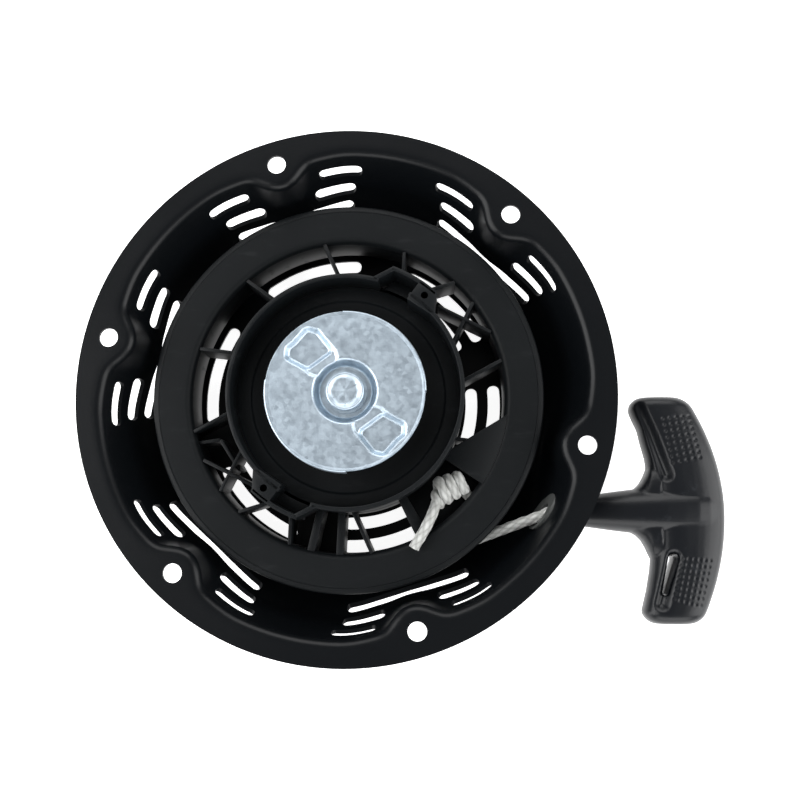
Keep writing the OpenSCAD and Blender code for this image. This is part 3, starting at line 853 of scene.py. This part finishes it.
def plateDrop(x, y):
    # how far the pressing sinks below the flat face
    size = plateSizes
    radius = np.hypot(x, y)
    cup = size["cupDepth"] * step((size["cupRim"] - radius) / (size["cupRim"] - size["cupFoot"]))
    drop = cup
    for side in (1, -1):
        basin = [(side * a, side * b) for a, b in size["basin"]]
        neck = [(side * a, side * b) for a, b in size["neck"]]
        depth = size["basinDepth"] * step((1.0 - roundGap(x, y, basin, 3.2)) / size["basinSlope"])
        saddle = size["neckDepth"] * step((0.9 - roundGap(x, y, neck, 3.2)) / 2.4)
        drop = softMax(drop, softMax(depth, saddle, 0.8), 0.9)
    return drop


def makePlate(material):
    size = plateSizes
    flat = size["edge"] - 0.9
    inner = [(size["hole"] + (flat - size["hole"]) * i / 74, size["top"]) for i in range(75)]
    bend = arcPoints((size["skirtEdge"] - 0.8, size["top"] - 0.8), 0.8, 90, 0, 5)
    skirt = [(size["skirtEdge"], size["top"] - 0.8 - 1.25 * i) for i in range(1, 7)]
    plate = spun("frictionPlate", inner + bend + skirt, 400)
    editMesh(plate)
    shape = bmesh.from_edit_mesh(plate.data)
    for face in shape.faces:
        middle = face.calc_center_median()
        at = math.degrees(math.atan2(middle.y, middle.x)) % 360
        onSkirt = any(low < at < high for low, high in size["skirts"])
        face.select = not onSkirt and (middle.xy.length > (size["edge"] + 0.35) * mm)
    bmesh.update_edit_mesh(plate.data)
    bpy.ops.mesh.delete(type="FACE")
    leaveEdit()
    place = points(plate)
    radius = np.hypot(place[:, 0], place[:, 1])
    drop = np.where(radius < flat + 0.01, plateDrop(place[:, 0], place[:, 1]), 0)
    place[:, 2] -= drop
    movePoints(plate, place)
    face = min(plate.data.polygons, key=lambda f: abs(f.center.xy.length - 0.034))
    if face.normal.z < 0:
        flipFaces(plate)
    applied(plate, "SOLIDIFY", thickness=size["sheet"] * mm, offset=-1.0, use_even_offset=False)
    bevelled(plate, 0.2)
    smoothShade(plate, 45)
    finished(plate, material, "zinc_steel", "friction_plate", "friction_plate")
    print("friction plate:", len(plate.data.polygons), "faces")


screwSizes = {"head": 8.5, "rim": 0.75, "low": -4.7, "top": -1.0, "dish": 6.6, "dishDrop": 0.9}


def makeScrew(material):
    # a round head with a bright rolled rim and a rough, slightly sunk middle
    size = screwSizes
    rim = arcPoints((size["head"] - size["rim"], size["top"] - size["rim"]),
                    size["rim"], 0, 130, 10)
    sunk = size["top"] - size["dishDrop"]
    dish = [(size["dish"], sunk + 0.25), (size["dish"] - 0.5, sunk), (4.6, sunk - 0.1), (3.0, sunk),
            (1.5, sunk + 0.06), (0.0, sunk + 0.08)]
    shank = [(0.0, -31.0), (3.2, -31.0), (4.0, -30.2), (4.0, -7.8), (5.5, -7.8), (5.5, size["low"]),
             (size["head"] - 0.5, size["low"]), (size["head"], size["low"] + 0.4)]
    screw = spun("centreScrew", shank + rim + dish, 96)
    place = points(screw)
    radius = np.hypot(place[:, 0], place[:, 1])
    angle = np.arctan2(place[:, 1], place[:, 0])
    # six shallow flats pressed into the dish
    flats = np.abs(((np.degrees(angle) + 30) % 60) - 30) / 30
    inDish = (radius < size["dish"] - 0.3) & (radius > 1.0) & (place[:, 2] > size["low"])
    place[:, 2] -= np.where(inDish, 0.25 * flats * np.clip(radius / 5, 0, 1), 0)
    movePoints(screw, place)
    editMesh(screw)
    leaveOutward()
    smoothShade(screw, 40)
    finished(screw, material, "zinc_steel", "case", "centre_screw")


ropeSizes = {
    "radius": 2.5, "strands": 5, "lay": 12.0, "relief": 0.38,
    # radius, lowest and highest height and number of turns of each layer on the reel
    "layers": ((76.8, -31.8, -21.2, 3), (81.0, -29.15, -23.85, 2)),
    "leaveAngle": -69.5, "leadStart": 93.05, "leadEnd": 146.4,
}


def smoothPath(stops, gap):
    # a smooth curve through given stops, with a point every gap mm
    stops = np.array(stops, float)
    padded = np.vstack([2 * stops[0] - stops[1], stops, 2 * stops[-1] - stops[-2]])
    curve = []
    for a, b, c, d in zip(padded, padded[1:], padded[2:], padded[3:]):
        for t in np.linspace(0, 1, 40, endpoint=False):
            curve.append(0.5 * (2 * b + (c - a) * t + (2 * a - 5 * b + 4 * c - d) * t * t
                                + (3 * b - a - 3 * c + d) * t ** 3))
    curve.append(stops[-1])
    curve = np.array(curve)
    run = np.concatenate([[0], np.cumsum(np.linalg.norm(np.diff(curve, axis=0), axis=1))])
    count = max(int(run[-1] / gap), 4)
    even = np.linspace(0, run[-1], count + 1)
    return np.stack([np.interp(even, run, curve[:, k]) for k in range(3)], 1)


def braidHeight(around, along):
    # strands of two families that pass over and under each other, from 0 in a gap to 1 on top
    first = np.sin(np.pi * (ropeSizes["strands"] * around + along))
    second = np.sin(np.pi * (ropeSizes["strands"] * around - along))
    over = first * second > 0
    a, b = np.abs(first), np.abs(second)
    return np.where(over, a ** 0.6 * (0.6 + 0.4 * b), b ** 0.6 * (0.35 + 0.4 * a))


def braidedTube(name, path, radius, sides, relief):
    count = len(path)
    tangent = np.gradient(path, axis=0)
    tangent /= np.linalg.norm(tangent, axis=1)[:, None]
    side = np.cross(tangent[0], (0.0, 0.0, 1.0))
    side /= np.linalg.norm(side)
    run = np.concatenate([[0], np.cumsum(np.linalg.norm(np.diff(path, axis=0), axis=1))])
    radii = np.broadcast_to(radius, (count,))
    angles = np.arange(sides) * 2 * np.pi / sides
    corners, valleys = [], []
    for i in range(count):
        side = side - tangent[i] * side.dot(tangent[i])
        side /= np.linalg.norm(side)
        other = np.cross(tangent[i], side)
        high = braidHeight(angles / (2 * np.pi), run[i] / ropeSizes["lay"] * 2)
        reach = radii[i] - relief * (1 - high)
        corners.append(path[i] + np.outer(np.cos(angles) * reach, side)
                       + np.outer(np.sin(angles) * reach, other))
        # how deep each point sits in a crevice, which the rope material turns into painted shade
        valleys.append((1 - high) * (relief > 0))
    corners = np.concatenate(corners)
    ends = np.array([path[0] - tangent[0] * 0.4, path[-1] + tangent[-1] * 0.4])
    faces = []
    for i in range(count - 1):
        for j in range(sides):
            k = (j + 1) % sides
            faces.append((i * sides + j, i * sides + k, (i + 1) * sides + k, (i + 1) * sides + j))
    last = (count - 1) * sides
    for j in range(sides):
        k = (j + 1) % sides
        faces.append((count * sides, k, j))
        faces.append((count * sides + 1, last + j, last + k))
    mesh = bpy.data.meshes.new(name)
    mesh.from_pydata((np.vstack([corners, ends]) * mm).tolist(), [], faces)
    mesh.validate()
    # crevice depth kept on the mesh for the rope's painted shade
    attribute = mesh.attributes.new("valley", "FLOAT", "POINT")
    attribute.data.foreach_set("value", np.concatenate([*valleys, [0, 0]]).astype(np.float32))
    tube = bpy.data.objects.new(name, mesh)
    bpy.context.collection.objects.link(tube)
    editMesh(tube)
    leaveOutward()
    smoothShade(tube, 60)
    return tube


knotSizes = {
    "middle": (45.9, -42.1, -19.3), "lean": 24.0, "length": 15.0, "turns": 3.15, "cord": 2.55,
    "tail": ((40.5, -48.5, -16.6), (39.0, -52.5, -14.4), (37.0, -57.0, -12.9), (34.2, -62.3, -12.7),
             (31.6, -66.4, -12.9), (30.2, -69.0, -13.1)),
}


def knotPath():
    size = knotSizes
    lean = math.radians(size["lean"])
    along = np.array([math.cos(lean), math.sin(lean), 0.0])
    across = np.array([-math.sin(lean), math.cos(lean), 0.0])
    up = np.array([0.0, 0.0, 1.0])
    middle = np.array(size["middle"])
    stops = [(56.5, -47.2, -23.4), (54.0, -44.5, -22.6), tuple(middle + along * 5.0 - up * 1.5),
             tuple(middle - along * 2.0 + up * 0.2), tuple(middle - along * 6.2 + up * 0.8)]
    steps = int(12 * size["turns"])
    for i in range(steps + 1):
        share = i / steps
        at = 2.4 + 2 * math.pi * size["turns"] * share
        reach = 4.9 - 1.5 * share
        place = (middle + along * (-6.4 + (size["length"] - 1.6) * share + 0.7 * math.cos(at))
                 + across * reach * math.cos(at) + up * reach * math.sin(at))
        stops.append(tuple(place))
    stops += [tuple(middle + along * 5.2 - across * 2.6 + up * 0.6),
              tuple(middle + along * 0.5 - across * 2.4 - up * 0.5),
              tuple(middle - along * 4.0 - across * 2.6 + up * 0.6)]
    stops += list(size["tail"])
    return stops


def makeRopes(material):
    radius = ropeSizes["radius"]
    relief = ropeSizes["relief"]
    start = ropeSizes["leaveAngle"]
    turns = []
    # two layers wound side by side, inner layer first, as one helix
    for layer, (reach, low, high, count) in enumerate(ropeSizes["layers"]):
        samples = 90 * count
        for i in range(samples + 1):
            share = i / samples
            at = math.radians(start - 360 * count * (1 - share))
            rise = low + (high - low) * share if layer else high + (low - high) * share
            turns.append((reach * math.cos(at), reach * math.sin(at), rise))
    coil = braidedTube("ropeCoil", smoothPath(turns[::3], 1.3), radius - 0.05, 20, relief)
    finished(coil, material, "rope_braid", "reel", "rope_coil")
    wind, _, top, _ = ropeSizes["layers"][-1]
    leave = (*polar(start, wind), top)
    outlet = (93.0, caseSizes["outletY"], caseSizes["outletHeight"])
    reach = [tuple(np.array(leave) + (np.array(outlet) - np.array(leave)) * s)
             for s in (0.0, 0.3, 0.6, 0.9)] + [(91.5, -52.7, -22.0), outlet]
    run = braidedTube("ropeRun", smoothPath(reach, 0.42), radius, 44, relief)
    finished(run, material, "rope_braid", "case", "rope_run")
    knot = braidedTube("ropeKnot", smoothPath(knotPath(), 0.42), knotSizes["cord"], 44, relief)
    finished(knot, material, "rope_braid", "reel", "rope_knot", "rope_tail")
    first, last = ropeSizes["leadStart"], ropeSizes["leadEnd"]
    lead = [(first + (last - first) * i / 6, outlet[1], outlet[2]) for i in range(7)]
    lead = braidedTube("ropeLead", smoothPath(lead, 0.36), radius - 0.02, 44, relief)
    finished(lead, material, "rope_braid", None, "rope_lead")
    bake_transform(lead)
    stop = []
    for i in range(27):
        angle = 2 * math.pi * i / 12
        stop.append((151.9 + 1.6 * math.sin(angle * 0.5), outlet[1] + 2.7 * math.cos(angle),
                     outlet[2] + 2.7 * math.sin(angle)))
    stop = [(148.0, outlet[1], outlet[2])] + stop + [(153.6, outlet[1] - 1.0, outlet[2] + 1.0)]
    knob = braidedTube("handleKnot", smoothPath(stop, 0.5), 2.2, 36, relief)
    finished(knob, material, "rope_braid", "handle", "handle_knot")
    print("ropes made")


handleSizes = {
    "middleY": -52.5, "middleZ": -22.0, "top": -1.2, "bottom": -102.2, "halfThick": 10.9,
    "endThick": 10.4, "outer": 169.3, "upperCurve": 0.0059, "lowerCurve": 0.0049,
    "voxel": 0.5, "endRound": 5.0,
    "pitPitch": 2.7, "pitRadius": 0.75, "pitDepth": 0.42,
    "valleyWidth": 4.2, "valleyDepth": 2.6,
    # height along the grip and how far out its inner edge lies
    "innerEdge": ((-102.2, 132.6), (-97.0, 131.5), (-87.5, 134.0), (-78.7, 135.7),
                  (-71.3, 136.4), (-50.0, 136.6), (-29.4, 135.1), (-21.7, 133.1),
                  (-15.6, 131.8), (-11.0, 129.6), (-7.2, 128.2), (-1.2, 128.6)),
    # place along the stem and its half width and half depth there
    "stemWidths": ((98.7, 5.9, 5.6), (104.0, 6.6, 6.2), (110.0, 7.4, 7.2), (118.0, 8.5, 9.0),
                   (126.0, 9.5, 10.6), (134.0, 10.3, 11.6), (142.0, 11.0, 12.3),
                   (150.0, 11.4, 12.4), (156.0, 11.5, 12.2), (161.0, 11.3, 11.2),
                   (165.5, 10.6, 8.6), (168.2, 9.4, 5.0)),
    "webWidths": ((127.0, 9.0), (130.0, 10.6), (132.4, 13.0), (134.2, 16.2), (136.0, 20.5),
                  (140.0, 23.0)),
    "valleys": (((130.5, -6.0), (136.5, -20.0), (142.5, -36.5)),
                ((144.6, -73.0), (142.0, -82.0), (138.8, -93.0))),
    "pitPatches": (((141.6, -11.6), (153.2, -10.6), (157.4, -29.0), (145.4, -31.4)),
                   ((148.2, -73.6), (160.4, -74.4), (155.6, -94.0), (144.0, -91.0))),
    "lowerSlot": ((144.3, -73.5), (140.2, -88.5)), "lowerSlotWidths": (2.7, 1.3),
}


def ovalRing(count, width, depth, power):
    # a rounded rectangle: power 2 is an ellipse and more is squarer
    ring = []
    for i in range(count):
        at = 2 * math.pi * (i + 0.5) / count
        c, s = math.cos(at), math.sin(at)
        ring.append((width * math.copysign(abs(c) ** (2 / power), c),
                     depth * math.copysign(abs(s) ** (2 / power), s)))
    return ring


def gripRings():
    size = handleSizes
    ys, xs = zip(*size["innerEdge"])
    rings = []
    for i in range(61):
        share = 0.5 - 0.5 * math.cos(math.pi * i / 60)
        y = size["bottom"] + (size["top"] - size["bottom"]) * share
        away = y - size["middleY"]
        curve = size["upperCurve"] if away > 0 else size["lowerCurve"]
        outer = size["outer"] - curve * away * away
        inner = float(np.interp(y, ys, xs))
        thinner = (size["endThick"] - size["halfThick"]) * min(abs(away) / 50, 1) ** 2
        thick = size["halfThick"] + thinner
        toEnd = min(y - size["bottom"], size["top"] - y)
        near = max(1 - toEnd / size["endRound"], 0)
        pull = size["endRound"] * (1 - math.sqrt(max(1 - near * near, 0)))
        width = max((outer - inner) / 2 - pull, 0.3)
        ring = ovalRing(40, width, max(thick - pull, 0.3), 2.7)
        rings.append([((outer + inner) / 2 + a, y, size["middleZ"] + b) for a, b in ring])
    return rings


def stemRings():
    size = handleSizes
    y, z = size["middleY"], size["middleZ"]
    return [[(x, y + a, z + b) for a, b in ovalRing(40, wide, deep, 2.4)]
            for x, wide, deep in size["stemWidths"]]


def webRings():
    # the broad root where the stem spreads into both arms
    size = handleSizes
    return [[(x, size["middleY"] - 0.3 + a, size["middleZ"] + b)
             for a, b in ovalRing(40, wide, 8.5 + (x - 127) * 0.12, 3.0)]
            for x, wide in size["webWidths"]]


def channel(name, ends, widths):
    # an hourglass slot between two points: wide at both faces and narrow at the neck
    (ax, ay), (bx, by) = ends
    length = math.hypot(bx - ax, by - ay)
    ux, uy = (bx - ax) / length, (by - ay) / length
    rings = []
    for z, grow in ((-37.0, 1.6), (-30.0, 0.7), (-25.0, 0.0),
                    (-19.0, 0.0), (-14.0, 0.7), (-7.0, 1.6)):
        first, second = widths[0] / 2 + grow, widths[1] / 2 + grow * 0.6
        outline = (arcPoints((0, 0), first, 90, 270, 8)
                   + arcPoints((length, 0), second, -90, 90, 8))
        rings.append([(ax + u * ux - v * uy, ay + u * uy + v * ux, z) for u, v in outline])
    return lofted(name, rings)


def pitDrop(x, y):
    # rows of small round pits inside each patch
    size = handleSizes
    drop = np.zeros(x.shape)
    for patch in size["pitPatches"]:
        a, b, c, d = (np.array(corner) for corner in patch)
        columns = round(np.linalg.norm(b - a) / size["pitPitch"])
        rows = round(np.linalg.norm(d - a) / size["pitPitch"])
        for row in range(rows + 1):
            for column in range(columns + 1):
                s, t = column / columns, row / rows
                centre = a * (1 - s) * (1 - t) + b * s * (1 - t) + c * s * t + d * (1 - s) * t
                gap = np.hypot(x - centre[0], y - centre[1]) / size["pitRadius"]
                drop = np.maximum(drop, size["pitDepth"] * step(1.35 - gap))
    return drop


def valleyDrop(x, y):
    # a soft valley behind the inner rim of each arm
    size = handleSizes
    drop = np.zeros(x.shape)
    for stops in size["valleys"]:
        gap = np.full(x.shape, 1e9)
        for start, end in zip(stops, stops[1:]):
            gap = np.minimum(gap, segmentGap(x, y, start, end))
        drop = np.maximum(drop, size["valleyDepth"] * step(1 - gap / size["valleyWidth"]))
    return drop


def makeHandle(material):
    size = handleSizes
    grip = lofted("pullHandle", gripRings())
    for part in (lofted("stem", stemRings()), lofted("web", webRings())):
        applied(grip, "BOOLEAN", object=part, operation="UNION", solver="EXACT")
        discard(part)
    y, z = size["middleY"], size["middleZ"]
    bore = lofted("bore", [[(x, y + a, z + b) for a, b in ovalRing(32, r, r, 2)]
                           for x, r in ((96.0, 4.2), (98.7, 4.0), (100.5, 3.0), (147.0, 3.0))])
    pocket = extruded("pocket", [(146.4, y - 8), (159.5, y - 8), (159.5, y + 8), (146.4, y + 8)],
                      -40, z + 7)
    lower = channel("lowerSlot", size["lowerSlot"], size["lowerSlotWidths"])
    for cutter in (bore, pocket, lower):
        cut(grip, [cutter])
    applied(grip, "REMESH", mode="VOXEL", voxel_size=size["voxel"] * mm, adaptivity=0.0)
    applied(grip, "SMOOTH", factor=0.6, iterations=7)
    place = points(grip)
    normals = np.array([v.normal[:] for v in grip.data.vertices])
    for side in (1, -1):
        facing = normals[:, 2] * side > 0.35
        away = step((np.abs(place[:, 2] - z) - 6) / 4)
        drop = np.where(facing, pitDrop(place[:, 0], place[:, 1]), 0)
        place[:, 2] -= np.where(facing, side * away * valleyDrop(place[:, 0], place[:, 1]), 0)
        place = place - normals * drop[:, None]
    movePoints(grip, place)
    smoothShade(grip, 60)
    finished(grip, material, "handle_plastic", "handle", "handle")
    print("handle:", len(grip.data.polygons), "faces")


makeCamera()
makeLights()
makeFloor()
paint = paintedSteel()
plastic = reelPlastic()
zinc = zincPlate()
bright = turnedSteel("turnedSteel", (0.44, 0.45, 0.47), 0.32)
blued = turnedSteel("bluedSpring", (0.16, 0.18, 0.22), 0.36)
grip = gripPlastic()
guide = guidePlastic()
rope = ropeFabric()
print("materials made")

makeCase(paint)
makePlate(zinc)
makeScrew(zinc)
makeRopes(rope)
makeHandle(grip)
makeReel(plastic)

edged("rope_guide", "ropeGuide", 0.4, 3, guide, "guide_plastic", "case")
for number in (1, 2):
    edged(f"pawl_{number}", f"pawl{number}", 0.3, 2, bright, "bare_steel", f"pawl_{number}")

kept = {
    "centre_post": bright, "thrust_washer": bright, "screw_washer": zinc, "recoil_spring": blued,
    "friction_spring": blued, "pawl_1_pin": bright, "pawl_2_pin": bright, "pawl_1_spring": blued,
    "pawl_2_spring": blued, "handle_washer": zinc,
}
for name, material in kept.items():
    nodes[name].data.materials.clear()
    nodes[name].data.materials.append(material)
    smoothShade(nodes[name], 35)
print("all pieces made")
